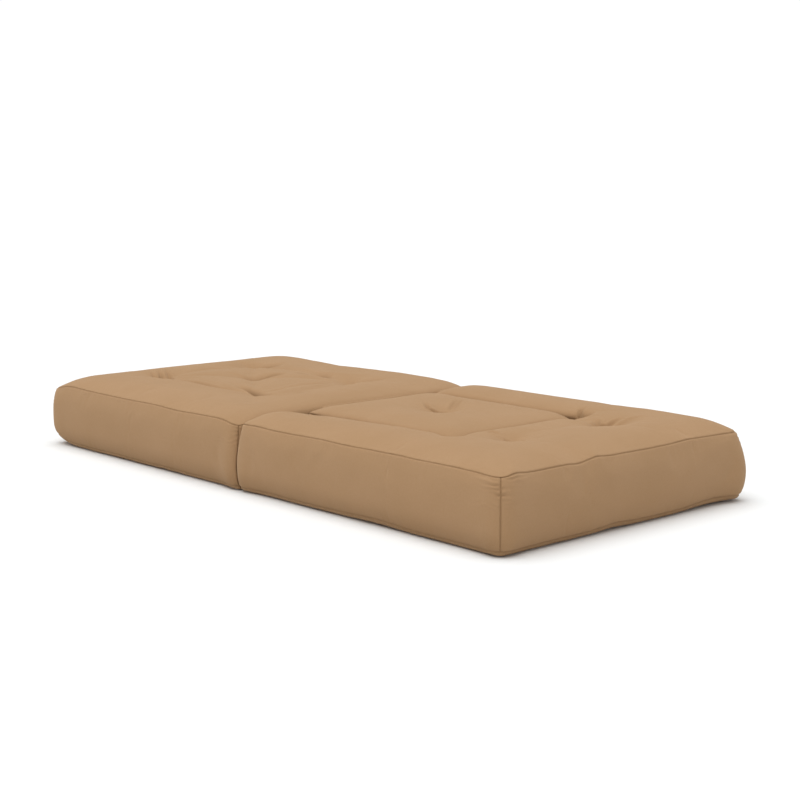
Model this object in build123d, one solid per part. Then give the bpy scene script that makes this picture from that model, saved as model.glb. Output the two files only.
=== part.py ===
from build123d import *
import os
from math import asin, cos, pi, sin, sqrt

# A floor bed of two boxed cushions joined along their top edges at the split, x = 0.
# The base section lies on the -X side. The folding section on the +X side is a U whose mouth
# faces the split, and the centre pad fills it. Both fold up and over onto the base section.
# The floor is z = 0, and y = 0 is the middle of the bed. Every length is in millimetres.

# Overall sizes
bed_width = 900.0  # across the bed, between the top seams
section_length = 980.0  # each section, from the split to the seam at its free end
seam_height = 188.0  # floor to the seam under the top panel
lower_seam_height = 14.0  # floor to the seam above the bottom panel
crown_rise = 33.0  # top seam to the highest part of the cushion

# The opening of the U, and the pad in it
cutout_width = 480.0
cutout_length = 612.0  # from the split to the closed end's inner face
pad_clearance = 3.0  # pad to U, all round

# Rounding of the cushions
side_bulge = 12.0  # how far a side swells out between its seams
end_bulge = 14.0  # the same at the free ends
shoulder_width = 110.0  # rise from an outer seam to the crown, measured inwards
split_shoulder_width = 60.0  # the same along the split
cutout_shoulder_width = 50.0  # the same round the opening of the U
pad_shoulder_width = 60.0  # the same on the pad
foot_roll = 26.0  # how far the underside curls up before the lower seam
corner_radius = 35.0  # upright corners, seen from above
pad_corner_radius = 30.0
plan_slack = 1.0  # the rounded plan stands this far outside the sides, so it trims corners only
crown_lift = 1.0  # crosswise shoulders aim this far over the crown, and meet it at a slight angle

# Layers
cover_thickness = 1.5
top_wadding_thickness = 20.0  # below the top seam; it is deeper under the crown
bottom_wadding_thickness = 22.0  # floor to the foam

# Tufts
tuft_radius = 85.0
tuft_floor_radius = 8.0  # flat spot under the knot
tuft_floor_share = 0.2  # height of that spot above the top seam, as a share of the crown
underside_tuft_radius = 40.0
underside_tuft_depth = 10.0
channel_width = 110.0  # the soft valley that runs between neighbouring tufts of the base
channel_floor_width = 4.0
channel_depth = 9.0
slope_steps = 3  # straight stretches in the slope of a tuft or channel
tuft_pleats = 12  # the cloth gathers into a tuft in this many folds
rim_lift = 1.5  # a tuft's or channel's rim over the crown, where its slope runs out
tape_width = 5.0  # flat cotton tape that ties a tuft through the cushion
tape_thickness = 1.2
tape_clearance = 0.3  # round the tape in its slots
bar_length = 13.0  # stitched bar that holds the tape at each end
bar_width = 4.0
bar_height = 2.5
bar_crest_share = 0.5  # width of its top, as a share of its foot

# Sewn hinge
flange_thickness = 1.5
flange_sewn_depth = 30.0  # sewn down over the side band, below the top seam
flange_end_margin = 45.0  # bare length at each end of a flange
split_half_gap = 0.3  # split plane to a flange
fold_clearance = 0.5  # crown to the hinge line

# Tuft places, as shares of a section's length from the split and of the width from the middle
base_corner_tuft_shares = [(0.28, -0.2), (0.79, -0.2), (0.79, 0.2), (0.28, 0.2)]
base_middle_tuft_share = 0.54  # of the section's length, on the middle line
end_tuft_shares = [(0.77, -0.19), (0.77, 0.19)]
pad_tuft_share = 0.52  # of the opening's length

crown_height = seam_height + crown_rise
hinge_height = crown_height + fold_clearance
tuft_floor_height = seam_height + tuft_floor_share * crown_rise
foam_bottom = bottom_wadding_thickness
foam_top = seam_height - top_wadding_thickness
mid_height = (lower_seam_height + seam_height) / 2
half_width = bed_width / 2
half_cutout = cutout_width / 2
pad_half_width = half_cutout - pad_clearance
pad_reach = cutout_length - pad_clearance  # hinge line to the pad's far end
split_face = split_half_gap + flange_thickness  # split plane to a cushion's side band
overrun = 2 * crown_height  # how far a cutting or trimming block passes the cushion
reach = 2 * (section_length + bed_width)  # longer than the bed each way


# One side of a cushion, as its distance at the lower seam, half way up and at the top seam
def upright_side(place):
    return (place, place, place)


def swollen_side(place, swell):
    return (place, place + swell, place)


# The pad's far end follows its own swing about the hinge line, so it clears the U as it lifts
def swinging_side(radius):
    heights = (lower_seam_height, mid_height, seam_height)
    return tuple(sqrt(radius**2 - (hinge_height - height) ** 2) for height in heights)


def side_edge(side):
    foot = (side[0], lower_seam_height)
    top = (side[2], seam_height)
    if side[0] == side[1] == side[2]:
        return Line(foot, top)
    return ThreePointArc(foot, (side[1], mid_height), top)


# Upright cut through a cushion: flat underside, curled feet, sides, shoulders and flat crown
def cushion_profile(left, right, left_shoulder, right_shoulder, top):
    left_foot = (left[0] + foot_roll, 0)
    right_foot = (right[0] - foot_roll, 0)
    left_crown = (left[2] + left_shoulder, top)
    right_crown = (right[2] - right_shoulder, top)
    edges = [
        Line(left_foot, right_foot),
        TangentArc(right_foot, (right[0], lower_seam_height), tangent=(1, 0)),
        side_edge(right),
        TangentArc(right_crown, (right[2], seam_height), tangent=(1, 0)),
        Line(right_crown, left_crown),
        TangentArc(left_crown, (left[2], seam_height), tangent=(-1, 0)),
        side_edge(left),
        TangentArc(left_foot, (left[0], lower_seam_height), tangent=(-1, 0)),
    ]
    return make_face(edges)


# A face drawn in all round by an inset, or let out where the inset is negative
def drawn_in(face, inset):
    if inset == 0:
        return face
    return offset(face, amount=-inset, kind=Kind.INTERSECTION)


# The body that lies inside a lengthwise cut, a crosswise cut and a plan
def crossed_form(lengthwise, crosswise, plan, inset):
    along = extrude(Plane.XZ * drawn_in(lengthwise, inset), amount=reach, both=True)
    across = extrude(Plane.YZ * drawn_in(crosswise, inset), amount=reach, both=True)
    upright = extrude(drawn_in(plan, inset), amount=overrun, both=True)
    return along & across & upright


def rounded_plan(low_x, high_x, half_y, radius):
    middle = (low_x + high_x) / 2
    length = high_x - low_x + 2 * plan_slack
    return Pos(middle, 0) * RectangleRounded(length, 2 * (half_y + plan_slack), radius)


# Funnel over the opening of the U: upright to the top seam, then flaring to the crown
def flare_profile(low, high, low_flare):
    top = crown_height + overrun
    rim = crown_height + crown_lift
    outside = high + cutout_shoulder_width
    edges = [
        Line((low, -overrun), (high, -overrun)),
        Line((high, -overrun), (high, seam_height)),
        TangentArc((outside, rim), (high, seam_height), tangent=(-1, 0)),
        Line((outside, rim), (outside, top)),
        Line((outside, top), (low - low_flare, top)),
    ]
    if low_flare:
        edges += [
            Line((low - low_flare, top), (low - low_flare, rim)),
            TangentArc((low - low_flare, rim), (low, seam_height), tangent=(1, 0)),
            Line((low, seam_height), (low, -overrun)),
        ]
    else:
        edges.append(Line((low, top), (low, -overrun)))
    return make_face(edges)


def opening_funnel(inset):
    lengthwise = flare_profile(-overrun, cutout_length, 0)
    crosswise = flare_profile(-half_cutout, half_cutout, cutout_shoulder_width)
    along = extrude(Plane.XZ * drawn_in(lengthwise, -inset), amount=reach, both=True)
    across = extrude(Plane.YZ * drawn_in(crosswise, -inset), amount=reach, both=True)
    return along & across


# Slope of a tuft or channel, from the edge of its flat spot out to its rim, as distance and
# height from a level surface. It bulges like the cushion that swells round it.
def slope_points(depth, half_span, spot, inset):
    run = half_span - spot
    fall = depth + rim_lift
    outer_radius = (run**2 + fall**2) / (2 * fall)
    slope_radius = outer_radius - inset
    slope_angle = asin(sqrt(fall * (2 * slope_radius - fall)) / slope_radius)
    points = []
    for step in range(slope_steps + 1):
        angle = slope_angle * (1 - step / slope_steps)
        drop = slope_radius * (1 - cos(angle)) + inset - rim_lift
        points.append((half_span - slope_radius * sin(angle), -drop))
    return points


# What a tuft takes out of a cushion whose surface is level with z = 0: a pleated funnel
def tuft_hollow(depth, radius, inset):
    outline = slope_points(depth, radius, tuft_floor_radius, inset) + [(radius, overrun)]
    turns = [pi * (2 * pleat + 1) / tuft_pleats for pleat in range(tuft_pleats)]
    rings = []
    for distance, height in outline:
        rings.append([(distance * cos(turn), distance * sin(turn), height) for turn in turns])
    faces = [Face(Wire.make_polygon(rings[0])), Face(Wire.make_polygon(rings[-1]))]
    for lower, upper in zip(rings, rings[1:]):
        for pleat in range(tuft_pleats):
            corners = [lower[pleat - 1], lower[pleat], upper[pleat], upper[pleat - 1]]
            faces.append(Face(Wire.make_polygon(corners)))
    return Solid(Shell(faces))


# The valley between two tufts
def channel_hollow(start, end, inset):
    slope = slope_points(channel_depth, channel_width / 2, channel_floor_width / 2, inset)
    outline = slope + [(channel_width / 2, overrun)]
    mirrored = [(-distance, height) for distance, height in reversed(outline)]
    section = Plane.YZ * make_face(Polyline(outline + mirrored, close=True))
    length = sqrt((end[0] - start[0]) ** 2 + (end[1] - start[1]) ** 2)
    trough = extrude(section, amount=length / 2, both=True)
    angle = 0 if start[1] == end[1] else 90
    middle = Pos((start[0] + end[0]) / 2, (start[1] + end[1]) / 2, crown_height)
    return middle * Rot(0, 0, angle) * trough


def tufted(form, tufts, inset):
    top_hollow = tuft_hollow(crown_height - tuft_floor_height, tuft_radius, inset)
    under_hollow = mirror(tuft_hollow(underside_tuft_depth, underside_tuft_radius, inset), Plane.XY)
    for x, y in tufts:
        form -= Pos(x, y, crown_height) * top_hollow
        form -= Pos(x, y, 0) * under_hollow
    return form


def tape_slots(tufts):
    width = tape_width + 2 * tape_clearance
    slot = Box(tape_thickness + 2 * tape_clearance, width, overrun)
    return [Pos(x, y, mid_height) * slot for x, y in tufts]


# A flat tape through the cushion, held at each end by a bar that lies across the slot
def tuft_tie():
    height = tuft_floor_height - underside_tuft_depth
    tape = Box(tape_thickness, tape_width, height, align=(Align.CENTER, Align.CENTER, Align.MIN))
    foot = bar_width / 2
    crest = foot * bar_crest_share
    bar_end = Polyline((-foot, 0), (foot, 0), (crest, bar_height), (-crest, bar_height), close=True)
    bar = extrude(Plane.YZ * make_face(bar_end), amount=bar_length / 2, both=True)
    low = Pos(0, 0, underside_tuft_depth)
    return low * (tape + mirror(bar, Plane.XY) + Pos(0, 0, height) * bar)


def tie_group(tufts):
    tie = tuft_tie()
    return Compound(children=[Pos(x, y, 0) * tie for x, y in tufts])


# The slice of a body between two heights
def layer(form, low, high):
    block = Box(reach, reach, high - low, align=(Align.CENTER, Align.CENTER, Align.MIN))
    return form & Pos(0, 0, low) * block


# Cover panels and filling layers of one cushion, bored for its ties
def cushion_layers(outer, inner, tufts):
    cover = outer - inner
    layers = {
        "top_panel": layer(cover, seam_height, crown_height),
        "boxing": layer(cover, lower_seam_height, seam_height),
        "bottom_panel": layer(cover, 0, lower_seam_height),
        "top_wadding": layer(inner, foam_top, crown_height),
        "foam_core": layer(inner, foam_bottom, foam_top),
        "bottom_wadding": layer(inner, 0, foam_bottom),
    }
    for name in layers:
        if name != "boxing":
            layers[name] = layers[name] - tape_slots(tufts)
    return layers


# One half of the sewn hinge, standing between the side band and the hinge line
def hinge_flange(low_y, high_y, side):
    height = hinge_height - split_half_gap - (seam_height - flange_sewn_depth)
    strip = Box(flange_thickness, high_y - low_y, height, align=(Align.CENTER, Align.MIN, Align.MIN))
    x = side * (split_half_gap + flange_thickness / 2)
    return Pos(x, low_y, seam_height - flange_sewn_depth) * strip


def base_section():
    lengthwise = cushion_profile(
        swollen_side(-section_length, -end_bulge),
        upright_side(-split_face),
        shoulder_width,
        split_shoulder_width,
        crown_height,
    )
    crosswise = cushion_profile(
        swollen_side(-half_width, -side_bulge),
        swollen_side(half_width, side_bulge),
        shoulder_width,
        shoulder_width,
        crown_height + crown_lift,
    )
    plan = rounded_plan(-section_length - end_bulge, -split_face, half_width + side_bulge, corner_radius)
    corner_tufts = [
        (-along * section_length, across * bed_width) for along, across in base_corner_tuft_shares
    ]
    tufts = corner_tufts + [(-base_middle_tuft_share * section_length, 0)]
    forms = []
    for inset in (0, cover_thickness):
        form = crossed_form(lengthwise, crosswise, plan, inset)
        for start, end in zip(corner_tufts, corner_tufts[1:] + corner_tufts[:1]):
            form -= channel_hollow(start, end, inset)
        forms.append(tufted(form, tufts, inset))
    layers = cushion_layers(forms[0], forms[1], tufts)
    pieces = {"base_" + name: shape for name, shape in layers.items()}
    pieces["base_tuft_ties"] = tie_group(tufts)
    flange_end = half_width - flange_end_margin
    pieces["base_hinge_flange"] = hinge_flange(-flange_end, flange_end, -1)
    return pieces


# The three blocks that a layer of the U is made of: two arms, and the closed end across them
def u_blocks(form):
    joint = cutout_length + cover_thickness
    arm_block = Box(joint, reach, overrun * 2, align=(Align.MIN, Align.MIN, Align.CENTER))
    end_block = Box(reach, reach, overrun * 2, align=(Align.MIN, Align.CENTER, Align.CENTER))
    return {
        "near_arm": form & Pos(0, -reach, 0) * arm_block,
        "far_arm": form & arm_block,
        "end": form & Pos(joint, 0, 0) * end_block,
    }


def folding_section():
    lengthwise = cushion_profile(
        upright_side(split_face),
        swollen_side(section_length, end_bulge),
        split_shoulder_width,
        shoulder_width,
        crown_height,
    )
    crosswise = cushion_profile(
        swollen_side(-half_width, -side_bulge),
        swollen_side(half_width, side_bulge),
        shoulder_width,
        shoulder_width,
        crown_height + crown_lift,
    )
    plan = rounded_plan(split_face, section_length + end_bulge, half_width + side_bulge, corner_radius)
    tufts = [(along * section_length, across * bed_width) for along, across in end_tuft_shares]
    forms = []
    for inset in (0, cover_thickness):
        form = crossed_form(lengthwise, crosswise, plan, inset) - opening_funnel(inset)
        forms.append(tufted(form, tufts, inset))
    layers = cushion_layers(forms[0], forms[1], tufts)
    pieces = {}
    for name in ("top_panel", "boxing", "bottom_panel"):
        pieces["folding_" + name] = layers[name]
    for layer_name, piece_name in (
        ("top_wadding", "top_wadding"),
        ("foam_core", "foam"),
        ("bottom_wadding", "bottom_wadding"),
    ):
        for block_name, block in u_blocks(layers[layer_name]).items():
            pieces[f"folding_{block_name}_{piece_name}"] = block
    pieces["folding_tuft_ties"] = tie_group(tufts)
    arm_inside = half_cutout + flange_end_margin / 2
    arm_outside = half_width - flange_end_margin
    near_flange = hinge_flange(-arm_outside, -arm_inside, 1)
    far_flange = hinge_flange(arm_inside, arm_outside, 1)
    pieces["folding_hinge_flange"] = Compound(children=[near_flange, far_flange])
    return pieces


def centre_pad():
    lengthwise = cushion_profile(
        upright_side(split_face),
        swinging_side(pad_reach),
        pad_shoulder_width,
        pad_shoulder_width,
        crown_height,
    )
    crosswise = cushion_profile(
        upright_side(-pad_half_width),
        upright_side(pad_half_width),
        pad_shoulder_width,
        pad_shoulder_width,
        crown_height + crown_lift,
    )
    plan = rounded_plan(split_face, pad_reach, pad_half_width, pad_corner_radius)
    tufts = [(pad_tuft_share * cutout_length, 0)]
    forms = []
    for inset in (0, cover_thickness):
        form = crossed_form(lengthwise, crosswise, plan, inset)
        forms.append(tufted(form, tufts, inset))
    layers = cushion_layers(forms[0], forms[1], tufts)
    pieces = {"pad_" + name: shape for name, shape in layers.items()}
    pieces["pad_tuft_tie"] = tie_group(tufts)
    flange_end = pad_half_width - flange_end_margin
    pieces["pad_hinge_flange"] = hinge_flange(-flange_end, flange_end, 1)
    return pieces


os.makedirs("parts", exist_ok=True)
for section in (base_section(), folding_section(), centre_pad()):
    for name, shape in section.items():
        shape.label = name
        export_step(shape, f"parts/{name}.step")
        print(name, round(shape.volume))
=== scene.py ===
import math

import bpy
import numpy as np
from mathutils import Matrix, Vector, noise


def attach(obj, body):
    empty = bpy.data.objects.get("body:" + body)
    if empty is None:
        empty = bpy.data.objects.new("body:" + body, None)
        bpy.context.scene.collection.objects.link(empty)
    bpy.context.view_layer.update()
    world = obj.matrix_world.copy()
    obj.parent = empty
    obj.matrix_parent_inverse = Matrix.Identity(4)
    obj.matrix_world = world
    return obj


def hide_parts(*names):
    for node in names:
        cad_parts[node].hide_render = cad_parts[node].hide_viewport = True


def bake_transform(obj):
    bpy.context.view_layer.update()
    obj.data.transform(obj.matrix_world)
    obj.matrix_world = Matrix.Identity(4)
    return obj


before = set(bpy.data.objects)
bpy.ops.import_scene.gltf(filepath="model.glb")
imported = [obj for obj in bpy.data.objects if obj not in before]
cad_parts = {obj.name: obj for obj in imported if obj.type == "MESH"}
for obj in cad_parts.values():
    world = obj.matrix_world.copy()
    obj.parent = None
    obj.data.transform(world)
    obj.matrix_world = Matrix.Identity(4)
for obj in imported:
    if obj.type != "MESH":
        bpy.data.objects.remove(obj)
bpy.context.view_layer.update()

scene = bpy.context.scene

# A floor bed of tufted cushions. The base lies on the -X side of the split, the U-shaped folding
# section on the +X side, and the centre pad fills the U. All lengths are in metres.

bed = {
    "halfWidth": 0.45,
    "sectionLength": 0.98,
    "topSeam": 0.188,
    "lowerSeam": 0.014,
    "crownRise": 0.0328,
    "splitFace": 0.0018,  # split plane to a cushion's side band
    "slotHalf": 0.24,  # half the width of the U's opening
    "slotLength": 0.612,
    "padGap": 0.003,
    "foldHeight": 0.2215,  # the hinge line
}


def linear(hexColour):  # sRGB hex to the linear colour that a shader takes
    parts = [int(hexColour[i:i + 2], 16) / 255 for i in (1, 3, 5)]
    turned = [c / 12.92 if c <= 0.04045 else ((c + 0.055) / 1.055) ** 2.4 for c in parts]
    return (*turned, 1.0)


# One node with its settings and what feeds it. A setting is the node's own or the value of an input,
# which is named, or numbered as i0, i1 and so on.
def addNode(tree, kind, links=None, **settings):
    node = tree.nodes.new(kind)
    for name, value in settings.items():
        if hasattr(node, name):
            setattr(node, name, value)
        else:
            key = int(name[1:]) if name[0] == "i" and name[1:].isdigit() else name
            node.inputs[key].default_value = value
    for name, source in (links or {}).items():
        tree.links.new(source, node.inputs[name])
    return node


def smooth(t):
    t = np.clip(t, 0, 1)
    return t * t * (3 - 2 * t)


def perlin(points, size, seed=0):  # smooth noise from -1 to 1 whose lumps are about size across
    shift = Vector((seed * 7.31, seed * 3.17, seed * 5.77))
    return np.array([noise.noise(Vector(p) / size + shift) for p in points.tolist()])


camera = {"target": (-0.4156, 0.5185, 0.1), "azimuth": 47.635, "elevation": 8.827,
          "distance": 5.0841, "lens": 68.85}


def placeCamera():
    azimuth, elevation = math.radians(camera["azimuth"]), math.radians(camera["elevation"])
    back = Vector((math.sin(azimuth) * math.cos(elevation),
                   -math.cos(azimuth) * math.cos(elevation), math.sin(elevation)))
    data = bpy.data.cameras.new("photoCamera")
    data.lens, data.sensor_width = camera["lens"], 36
    data.clip_end = 100
    view = bpy.data.objects.new("photoCamera", data)
    view.location = Vector(camera["target"]) + back * camera["distance"]
    view.rotation_mode = "QUATERNION"
    view.rotation_quaternion = (-back).to_track_quat("-Z", "Y")
    scene.collection.objects.link(view)
    scene.camera = view


placeCamera()
print("camera placed")


studio = {"horizon": 1.02, "zenith": 0.45,
          "softbox": 2.8, "softboxFrom": (-0.06, -0.14, 1.0), "softboxAngle": 62,
          "softboxTint": "#FAFDFF", "floor": "#E9E9E8"}


def lightStudio():
    world = bpy.data.worlds.new("pale studio")
    world.use_nodes = True
    tree = world.node_tree
    up = addNode(tree, "ShaderNodeSeparateXYZ",
                 {0: addNode(tree, "ShaderNodeTexCoord").outputs["Generated"]})
    climb = addNode(tree, "ShaderNodeMapRange", {"Value": up.outputs["Z"]},
                    **{"From Min": 0.1, "From Max": 0.35, "To Min": studio["horizon"],
                       "To Max": studio["zenith"]})
    tree.nodes["Background"].inputs["Color"].default_value = (1, 1, 1, 1)
    tree.links.new(climb.outputs[0], tree.nodes["Background"].inputs["Strength"])
    scene.world = world
    data = bpy.data.lights.new("overheadSoftbox", "SUN")
    data.energy, data.angle = studio["softbox"], math.radians(studio["softboxAngle"])
    data.color = linear(studio["softboxTint"])[:3]
    lamp = bpy.data.objects.new("overheadSoftbox", data)
    lamp.rotation_mode = "QUATERNION"
    lamp.rotation_quaternion = Vector(studio["softboxFrom"]).to_track_quat("Z", "Y")
    scene.collection.objects.link(lamp)
    bpy.ops.mesh.primitive_circle_add(vertices=96, radius=60, fill_type="NGON", location=(0, 0, 0))
    floor = bpy.context.object
    floor.name = "studioFloor"
    paint = bpy.data.materials.new("matt studio floor paint")
    paint.use_nodes = True
    shader = paint.node_tree.nodes["Principled BSDF"]
    shader.inputs["Base Color"].default_value = linear(studio["floor"])
    shader.inputs["Roughness"].default_value = 0.9
    shader.inputs["Specular IOR Level"].default_value = 0.2
    floor.data.materials.append(paint)
    scene.view_settings.view_transform = "Standard"


lightStudio()
print("light and floor placed")


coverCloth = {
    "colour": "#A48260",
    "deep": "#9F7D5A",  # the dye lies a little deeper in patches
    "seam": "#7D5F40",  # painted shade in the seam grooves, in the creases and low on the long sides; the seam thread is a little soiled too
    "threadMm": 1.3,  # cotton canvas thread spacing is about 0.6 mm, drawn coarser so it shows
    "napMm": 5.0,
    "cloudMm": 160.0,
    "sheen": 0.15,
}


# Brushed cotton canvas: matt, with a short nap that lightens the grazing edges, a faint plain
# weave close up, slight unevenness of the dye, and painted shade where the mesh marks it.
def brushedCottonCanvas():
    material = bpy.data.materials.new("brushed cotton canvas, camel tan")
    material.use_nodes = True
    tree = material.node_tree
    shader = tree.nodes["Principled BSDF"]
    shader.inputs["Roughness"].default_value = 0.92
    shader.inputs["Specular IOR Level"].default_value = 0.18
    shader.inputs["Sheen Weight"].default_value = coverCloth["sheen"]
    shader.inputs["Sheen Roughness"].default_value = 0.55
    shader.inputs["Sheen Tint"].default_value = linear("#E9D6BC")
    place = addNode(tree, "ShaderNodeTexCoord").outputs["Object"]
    cloud = addNode(tree, "ShaderNodeTexNoise", {"Vector": place}, Scale=1000 / coverCloth["cloudMm"],
                    Detail=3.0, Roughness=0.55)
    mottle = addNode(tree, "ShaderNodeTexNoise", {"Vector": place}, Scale=1000 / coverCloth["napMm"],
                     Detail=4.0, Roughness=0.7)
    both = addNode(tree, "ShaderNodeMath", {0: cloud.outputs["Fac"], 1: mottle.outputs["Fac"]},
                   operation="ADD")
    ramp = addNode(tree, "ShaderNodeMapRange", {"Value": both.outputs[0]},
                   **{"From Min": 0.72, "From Max": 1.28})
    mix = addNode(tree, "ShaderNodeMix", {"Factor": ramp.outputs[0]}, data_type="RGBA")
    mix.inputs["A"].default_value = linear(coverCloth["deep"])
    mix.inputs["B"].default_value = linear(coverCloth["colour"])
    # painted shade: the paintedShade attribute darkens the cloth in seams, creases and low on the long
    # sides
    line = addNode(tree, "ShaderNodeAttribute", attribute_name="paintedShade")
    paintedShadeMix = addNode(tree, "ShaderNodeMix", {"Factor": line.outputs["Fac"]}, data_type="RGBA")
    tree.links.new(mix.outputs["Result"], paintedShadeMix.inputs["A"])
    paintedShadeMix.inputs["B"].default_value = linear(coverCloth["seam"])
    tree.links.new(paintedShadeMix.outputs["Result"], shader.inputs["Base Color"])
    weave = addWeave(tree, place, coverCloth["threadMm"] / 1000)
    nap = addNode(tree, "ShaderNodeTexNoise", {"Vector": place}, Scale=900.0, Detail=2.0)
    fine = addNode(tree, "ShaderNodeMath", {0: nap.outputs["Fac"], 1: weave}, operation="ADD")
    bump = addNode(tree, "ShaderNodeBump", {"Height": fine.outputs[0]}, Strength=0.16, Distance=0.0006)
    tree.links.new(bump.outputs["Normal"], shader.inputs["Normal"])
    return material


# Plain weave seen square on from any side: threads cross in the two directions that lie in the
# surface, picked by where the surface faces.
def addWeave(tree, place, spacing):
    axes = addNode(tree, "ShaderNodeSeparateXYZ", {0: place})
    facing = addNode(tree, "ShaderNodeSeparateXYZ",
                     {0: addNode(tree, "ShaderNodeTexCoord").outputs["Normal"]})
    waves = []
    for name in "XYZ":
        turn = addNode(tree, "ShaderNodeMath", {0: axes.outputs[name]}, operation="MULTIPLY",
                       i1=2 * math.pi / spacing)
        waves.append(addNode(tree, "ShaderNodeMath", {0: turn.outputs[0]}, operation="SINE").outputs[0])
    total = None
    for name, (a, b) in zip("XYZ", ((1, 2), (0, 2), (0, 1))):
        check = addNode(tree, "ShaderNodeMath", {0: waves[a], 1: waves[b]}, operation="MULTIPLY")
        share = addNode(tree, "ShaderNodeMath",
                        {0: facing.outputs[name], 1: facing.outputs[name]}, operation="MULTIPLY")
        part = addNode(tree, "ShaderNodeMath", {0: check.outputs[0], 1: share.outputs[0]},
                       operation="MULTIPLY")
        if total is None:
            total = part.outputs[0]
        else:
            total = addNode(tree, "ShaderNodeMath", {0: total, 1: part.outputs[0]},
                            operation="ADD").outputs[0]
    return total


coverMaterial = brushedCottonCanvas()
print("cover cloth made")


# Each cushion is one closed mesh: a grid on top, a side band in rows, and a grid below.
meshing = {
    "coarse": 0.0125,  # widest step between grid lines
    "fine": 0.0055,  # step at a tuft
    "seam": 0.0016,  # step at a seam, which grows away from it
    "growth": 0.3,
    "spotReach": 0.055,
    "samples": 4001,
    "noSeam": 0.3,  # stands for the distance to a seam that a face doesn't meet
}
offSeam = 0.25  # a distance over this counts as on another panel


def spacedLines(low, high, spots=()):  # grid lines, close together by seams and tufts
    at = np.linspace(low, high, meshing["samples"])
    step = np.minimum(meshing["coarse"],
                      meshing["seam"] + meshing["growth"] * np.minimum(at - low, high - at))
    for spot in spots:
        close = np.exp(-((at - spot) / meshing["spotReach"]) ** 2)
        step = np.minimum(step, meshing["coarse"] - (meshing["coarse"] - meshing["fine"]) * close)
    count = np.concatenate([[0], np.cumsum(np.diff(at) * 2 / (step[1:] + step[:-1]))])
    return np.interp(np.linspace(0, count[-1], int(round(count[-1])) + 1), count, at)


def joinLines(*parts):
    return np.concatenate([parts[0]] + [part[1:] for part in parts[1:]])


def roundCorners(x, y, corners):  # corners: (x, y, x sign inwards, y sign inwards, radius)
    x, y = x.copy(), y.copy()
    for cornerX, cornerY, inX, inY, radius in corners:
        centreX, centreY = cornerX + inX * radius, cornerY + inY * radius
        a, b = (centreX - x) * inX / radius, (centreY - y) * inY / radius
        inside = (a > 0) & (b > 0) & (a < 1.001) & (b < 1.001)
        roundA = a * np.sqrt(1 - np.clip(b, 0, 1) ** 2 / 2)
        roundB = b * np.sqrt(1 - np.clip(a, 0, 1) ** 2 / 2)
        x = np.where(inside, centreX - inX * radius * roundA, x)
        y = np.where(inside, centreY - inY * radius * roundB, y)
    return x, y


def loopThrough(xs, ys, corners):  # grid indices along straight runs from corner to corner
    found = []
    for (x0, y0), (x1, y1) in zip(corners, corners[1:] + corners[:1]):
        i0, i1 = int(np.argmin(abs(xs - x0))), int(np.argmin(abs(xs - x1)))
        j0, j1 = int(np.argmin(abs(ys - y0))), int(np.argmin(abs(ys - y1)))
        steps = max(abs(i1 - i0), abs(j1 - j0))
        for k in range(steps):
            found.append((i0 + (i1 - i0) * k // steps, j0 + (j1 - j0) * k // steps))
    return found


def shoulder(distance, width, power=0.72):  # rise of a filled edge, 0 at the seam to 1 at width
    t = np.clip(distance / width, 0, 1)
    return (1 - (1 - t) ** 2) ** power


def lineDistance(x, y, line):  # distance to a line of points, + on its left, and the share so far
    line = np.array(line)
    lengths = np.hypot(*np.diff(line, axis=0).T)
    nearest, share = np.full(x.shape, 9.0), np.zeros(x.shape)
    for k, (start, end) in enumerate(zip(line, line[1:])):
        step = end - start
        dx, dy = x - start[0], y - start[1]
        along = np.clip((dx * step[0] + dy * step[1]) / lengths[k] ** 2, 0, 1)
        distance = np.hypot(dx - along * step[0], dy - along * step[1])
        distance = np.where(step[0] * dy - step[1] * dx < 0, -distance, distance)
        closer = abs(distance) < abs(nearest)
        share = np.where(closer, (lengths[:k].sum() + along * lengths[k]) / lengths.sum(), share)
        nearest = np.where(closer, distance, nearest)
    return nearest, share


def tuftDips(x, y, tufts):  # a funnel at each tuft, with pleats that run down into it
    drop = np.zeros_like(x)
    for tie in tufts:
        r = np.hypot(x - tie["at"][0], y - tie["at"][1])
        t = np.clip(1 - r / tie["radius"], 0, 1)
        turn = np.arctan2(y - tie["at"][1], x - tie["at"][0])
        pleats = 0.5 + 0.5 * np.cos(tie["pleats"] * turn + tie["turn"]
                                    + 1.3 * np.sin(2 * turn + tie["turn"]))
        drop += tie["depth"] * t ** 2.1 + tie["pleatDepth"] * pleats ** 3 * t ** 1.2 * (1 - t) ** 0.8 * 2
    return drop


def valley(line, depth, width, right=None):  # width on the line's left and on its right
    return {"line": line, "depth": depth, "width": width, "right": right or width}


def valleyDips(x, y, valleys):  # broad troughs where the tufts draw the filling down between them
    drop = np.zeros_like(x)
    for trough in valleys:
        distance, share = lineDistance(x, y, trough["line"])
        ends = 0.5 + 0.5 * smooth(share * 5) * smooth((1 - share) * 5)
        width = np.where(distance > 0, trough["width"], trough["right"])
        drop = np.maximum(drop, trough["depth"] * ends * np.exp(-(distance / width) ** 2))
    return drop


def fold(line, depth=0.005, width=0.0045, peak=0.5, lip=0.35, right=None):
    return {"line": line, "depth": depth, "width": width, "peak": peak, "lip": lip,
            "right": right or width}


def foldLines(x, y, folds):  # sharp creases that fade to their ends, with a soft roll beside them
    lift = np.zeros_like(x)
    for crease in folds:
        distance, share = lineDistance(x, y, crease["line"])
        peak = crease["peak"]
        width = np.where(distance > 0, crease["width"], crease["right"])
        distance = abs(distance)
        taper = smooth(np.where(share < peak, share / max(peak, 0.01), (1 - share) / (1.01 - peak)) + 0.05)
        lift -= crease["depth"] * taper * np.exp(-(distance / width) ** 2)
        roll = np.exp(-((distance - 2.1 * width) / (1.1 * width)) ** 2)
        lift += crease["lip"] * crease["depth"] * taper * roll
    return lift


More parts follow.
